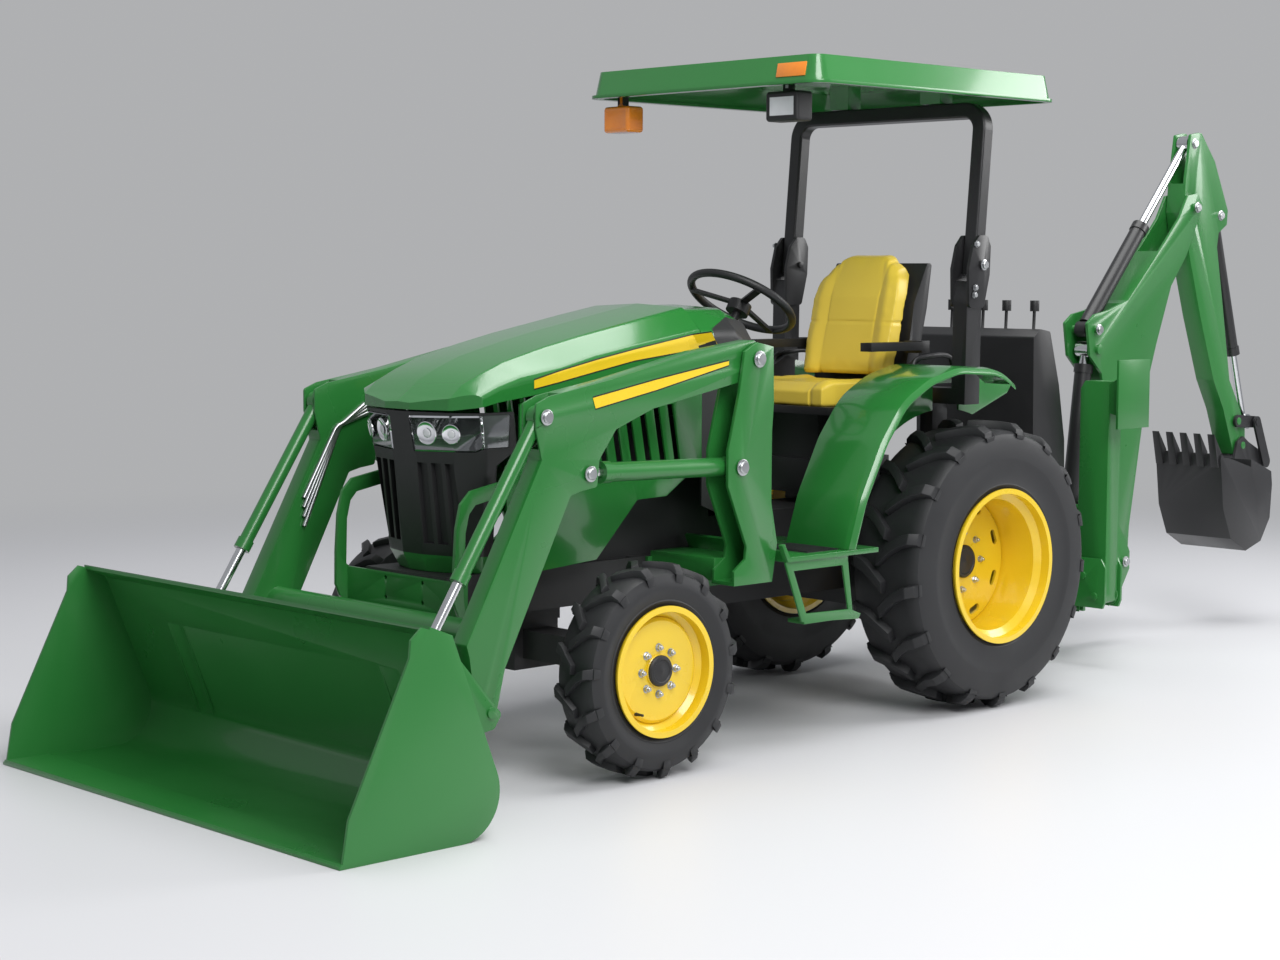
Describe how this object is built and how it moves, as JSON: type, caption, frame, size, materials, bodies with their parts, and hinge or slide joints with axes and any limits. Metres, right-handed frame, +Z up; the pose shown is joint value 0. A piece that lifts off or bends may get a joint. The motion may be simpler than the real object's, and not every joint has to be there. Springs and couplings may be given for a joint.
{
  "type": "backhoe loader",
  "caption": "Compact tractor on four wheels with a front loader bucket, a rear backhoe, folding stabilisers, a roll-over frame and a canopy over the seat.",
  "frame": {"origin": "middle of the machine's length and width, on the ground under the tyres", "axes": "+X forward to the loader bucket, +Y to the machine's left, +Z up"},
  "size_m": [5.568, 1.73, 2.1963],
  "materials": {
    "black_paint": "satin",
    "black_plastic": "matte",
    "cast": "matte",
    "chrome": "polished",
    "green_paint": "satin",
    "green_plastic": "gloss",
    "lamp": "gloss",
    "steel": "satin",
    "tyre": "matte",
    "yellow_paint": "gloss",
    "yellow_vinyl": "satin"
  },
  "bodies": {
    "chassis": {"frame_rails": "cast", "engine_block": "cast", "transaxle": "cast", "front_axle": "cast", "grille": "black_plastic", "headlamps": "lamp", "side_panels": "green_plastic", "dash_cowl": "green_plastic", "dash_panel": "black_plastic", "platform": "black_paint", "fenders": "green_plastic", "fender_trim": "black_plastic", "seat_frame": "black_plastic", "seat_cushion": "yellow_vinyl", "seat_back": "yellow_vinyl", "loader_masts": "green_paint", "brush_guard": "green_paint", "backhoe_frame": "green_paint", "control_console": "green_plastic", "rops_posts": "black_paint"},
    "hood": {"hood": "green_plastic"},
    "steering_wheel": {"steering_wheel": "black_plastic"},
    "rops_upper": {"rops_hoop": "black_paint", "canopy": "green_plastic", "canopy_lamps": "lamp"},
    "knuckle_left": {"knuckle_left": "cast"},
    "knuckle_right": {"knuckle_right": "cast"},
    "wheel_front_left": {"rim_front_left": "yellow_paint", "tyre_front_left": "tyre"},
    "wheel_front_right": {"rim_front_right": "yellow_paint", "tyre_front_right": "tyre"},
    "wheel_rear_left": {"rim_rear_left": "yellow_paint", "tyre_rear_left": "tyre"},
    "wheel_rear_right": {"rim_rear_right": "yellow_paint", "tyre_rear_right": "tyre"},
    "loader_arms": {"loader_arms": "green_paint", "loader_pipes": "steel"},
    "loader_bucket": {"loader_bucket": "green_paint"},
    "lift_barrels": {"lift_barrels": "green_paint"},
    "lift_rods": {"lift_rods": "chrome"},
    "tilt_barrels": {"tilt_barrels": "green_paint"},
    "tilt_rods": {"tilt_rods": "chrome"},
    "swing_post": {"swing_post": "green_paint"},
    "boom": {"boom": "green_paint"},
    "dipper": {"dipper": "green_paint"},
    "digger_bucket": {"digger_bucket": "black_paint"},
    "rocker_link": {"rocker_link": "black_paint"},
    "tipping_link": {"tipping_link": "black_paint"},
    "boom_barrel": {"boom_barrel": "black_paint"},
    "boom_rod": {"boom_rod": "chrome"},
    "dipper_barrel": {"dipper_barrel": "black_paint"},
    "dipper_rod": {"dipper_rod": "chrome"},
    "digger_barrel": {"digger_barrel": "black_paint"},
    "digger_rod": {"digger_rod": "chrome"},
    "stabiliser_left": {"stabiliser_left": "green_paint"},
    "stab_barrel_left": {"stab_barrel_left": "black_paint"},
    "stab_rod_left": {"stab_rod_left": "chrome"},
    "stabiliser_right": {"stabiliser_right": "green_paint"},
    "stab_barrel_right": {"stab_barrel_right": "black_paint"},
    "stab_rod_right": {"stab_rod_right": "chrome"}
  },
  "joints": [
    {"name": "steer_left", "type": "hinge", "parent": "chassis", "child": "knuckle_left", "pos_m": [1.4475, 0.43, 0.325], "axis": [0, 0, 1], "range_deg": [-45, 45]},
    {"name": "wheel_front_left_spin", "type": "hinge", "parent": "knuckle_left", "child": "wheel_front_left", "pos_m": [1.4475, 0.5775, 0.325], "axis": [0, 1, 0], "continuous": true},
    {"name": "wheel_rear_left_spin", "type": "hinge", "parent": "chassis", "child": "wheel_rear_left", "pos_m": [-0.2025, 0.48, 0.5], "axis": [0, 1, 0], "continuous": true},
    {"name": "steer_right", "type": "hinge", "parent": "chassis", "child": "knuckle_right", "pos_m": [1.4475, -0.43, 0.325], "axis": [0, 0, 1], "range_deg": [-45, 45]},
    {"name": "wheel_front_right_spin", "type": "hinge", "parent": "knuckle_right", "child": "wheel_front_right", "pos_m": [1.4475, -0.5775, 0.325], "axis": [0, 1, 0], "continuous": true},
    {"name": "wheel_rear_right_spin", "type": "hinge", "parent": "chassis", "child": "wheel_rear_right", "pos_m": [-0.2025, -0.48, 0.5], "axis": [0, 1, 0], "continuous": true},
    {"name": "steering_wheel_turn", "type": "hinge", "parent": "chassis", "child": "steering_wheel", "pos_m": [0.4735, 0, 1.388], "axis": [-0.5299, 0, 0.848], "range_deg": [-540, 540]},
    {"name": "hood_open", "type": "hinge", "parent": "chassis", "child": "hood", "pos_m": [0.9405, 0, 1.385], "axis": [0, -1, 0], "range_deg": [0, 55]},
    {"name": "rops_fold", "type": "hinge", "parent": "chassis", "child": "rops_upper", "pos_m": [-0.2475, 0, 1.534], "axis": [0, -1, 0], "range_deg": [0, 65]},
    {"name": "loader_lift", "type": "hinge", "parent": "chassis", "child": "loader_arms", "pos_m": [0.9875, 0.535, 1.238], "axis": [0, -1, 0], "range_deg": [0, 80]},
    {"name": "lift_barrel_pivot", "type": "hinge", "parent": "chassis", "child": "lift_barrels", "pos_m": [1.0595, 0.535, 0.907], "axis": [0, -1, 0], "range_deg": [-0.5, 68.5]},
    {"name": "lift_rod_slide", "type": "slide", "parent": "lift_barrels", "child": "lift_rods", "axis": [0.9998, 0, 0.0212], "range_m": [-0.001, 0.4042]},
    {"name": "bucket_tilt", "type": "hinge", "parent": "loader_arms", "child": "loader_bucket", "pos_m": [2.0595, 0.535, 0.27], "axis": [0, -1, 0], "range_deg": [-70, 25]},
    {"name": "tilt_barrel_pivot", "type": "hinge", "parent": "loader_arms", "child": "tilt_barrels", "pos_m": [1.8425, 0.535, 1.091], "axis": [0, -1, 0], "range_deg": [-3.65, 1.62]},
    {"name": "tilt_rod_slide", "type": "slide", "parent": "tilt_barrels", "child": "tilt_rods", "axis": [0.5465, 0, -0.8375], "range_m": [-0.106, 0.295]},
    {"name": "backhoe_swing", "type": "hinge", "parent": "chassis", "child": "swing_post", "pos_m": [-1.4725, 0, 0.35], "axis": [0, 0, 1], "range_deg": [-75, 75]},
    {"name": "boom_swing", "type": "hinge", "parent": "swing_post", "child": "boom", "pos_m": [-1.6975, 0, 0.343], "axis": [0, -1, 0], "range_deg": [0, 80]},
    {"name": "dipper_swing", "type": "hinge", "parent": "boom", "child": "dipper", "pos_m": [-2.1725, 0, 1.781], "axis": [0, -1, 0], "range_deg": [-100, 0]},
    {"name": "digger_swing", "type": "hinge", "parent": "dipper", "child": "digger_bucket", "pos_m": [-2.5855, 0, 0.772], "axis": [0, -1, 0], "range_deg": [-60, 12]},
    {"name": "boom_barrel_pivot", "type": "hinge", "parent": "swing_post", "child": "boom_barrel", "pos_m": [-1.4275, 0, 0.575], "axis": [0, -1, 0], "range_deg": [-0.5, 77.3]},
    {"name": "boom_rod_slide", "type": "slide", "parent": "boom_barrel", "child": "boom_rod", "axis": [-0.1337, 0, 0.991], "range_m": [-0.001, 0.453]},
    {"name": "dipper_barrel_pivot", "type": "hinge", "parent": "boom", "child": "dipper_barrel", "pos_m": [-1.5005, 0, 1.285], "axis": [0, -1, 0], "range_deg": [-3.5, 0.5]},
    {"name": "dipper_rod_slide", "type": "slide", "parent": "dipper_barrel", "child": "dipper_rod", "axis": [-0.6696, 0, 0.7428], "range_m": [-0.401, 0.001]},
    {"name": "digger_barrel_pivot", "type": "hinge", "parent": "dipper", "child": "digger_barrel", "pos_m": [-2.3945, 0, 1.753], "axis": [0, -1, 0], "range_deg": [-1.18, 3.92]},
    {"name": "digger_rod_slide", "type": "slide", "parent": "digger_barrel", "child": "digger_rod", "axis": [-0.3003, 0, -0.9538], "range_m": [-0.1462, 0.03004]},
    {"name": "rocker_pivot", "type": "hinge", "parent": "dipper", "child": "rocker_link", "pos_m": [-2.5485, 0, 0.878], "axis": [0, -1, 0], "range_deg": [-75.5, 15.5]},
    {"name": "tipping_pivot", "type": "hinge", "parent": "rocker_link", "child": "tipping_link", "pos_m": [-2.6725, 0, 0.87], "axis": [0, -1, 0], "range_deg": [-10.1, 48.5]},
    {"name": "stabiliser_left_fold", "type": "hinge", "parent": "chassis", "child": "stabiliser_left", "pos_m": [-1.1825, 0.345, 0.28], "axis": [-1, 0, 0], "range_deg": [0, 105]},
    {"name": "stab_barrel_left_pivot", "type": "hinge", "parent": "chassis", "child": "stab_barrel_left", "pos_m": [-1.1825, 0.29, 0.357], "axis": [-1, 0, 0], "range_deg": [-0.5, 105.5]},
    {"name": "stab_rod_left_slide", "type": "slide", "parent": "stab_barrel_left", "child": "stab_rod_left", "axis": [0, 0.0184, 0.9998], "range_m": [-0.001, 0.15115]},
    {"name": "stabiliser_right_fold", "type": "hinge", "parent": "chassis", "child": "stabiliser_right", "pos_m": [-1.1825, -0.345, 0.28], "axis": [1, 0, 0], "range_deg": [0, 105]},
    {"name": "stab_barrel_right_pivot", "type": "hinge", "parent": "chassis", "child": "stab_barrel_right", "pos_m": [-1.1825, -0.29, 0.357], "axis": [1, 0, 0], "range_deg": [-0.5, 105.5]},
    {"name": "stab_rod_right_slide", "type": "slide", "parent": "stab_barrel_right", "child": "stab_rod_right", "axis": [0, -0.0184, 0.9998], "range_m": [-0.001, 0.15115]}
  ],
  "couplings": [
    {"joint": "steer_right", "follows": "steer_left", "ratio": 1},
    {"joint": "steering_wheel_turn", "follows": "steer_left", "ratio": 12},
    {"joint": "lift_barrel_pivot", "follows": "loader_lift", "ratio": 0.85},
    {"joint": "lift_rod_slide", "follows": "loader_lift", "m_per_rad": 0.28877},
    {"joint": "tilt_barrel_pivot", "follows": "bucket_tilt", "ratio": 0.045},
    {"joint": "tilt_rod_slide", "follows": "bucket_tilt", "m_per_rad": -0.24064},
    {"joint": "boom_barrel_pivot", "follows": "boom_swing", "ratio": 0.96},
    {"joint": "boom_rod_slide", "follows": "boom_swing", "m_per_rad": 0.32372},
    {"joint": "dipper_barrel_pivot", "follows": "dipper_swing", "ratio": 0.03},
    {"joint": "dipper_rod_slide", "follows": "dipper_swing", "m_per_rad": 0.22918},
    {"joint": "digger_barrel_pivot", "follows": "digger_swing", "ratio": -0.057},
    {"joint": "digger_rod_slide", "follows": "digger_swing", "m_per_rad": 0.13866},
    {"joint": "rocker_pivot", "follows": "digger_swing", "ratio": 1.25},
    {"joint": "tipping_pivot", "follows": "digger_swing", "ratio": -0.8},
    {"joint": "stab_barrel_left_pivot", "follows": "stabiliser_left_fold", "ratio": 1},
    {"joint": "stab_rod_left_slide", "follows": "stabiliser_left_fold", "m_per_rad": 0.081933},
    {"joint": "stab_barrel_right_pivot", "follows": "stabiliser_right_fold", "ratio": 1},
    {"joint": "stab_rod_right_slide", "follows": "stabiliser_right_fold", "m_per_rad": 0.081933}
  ]
}
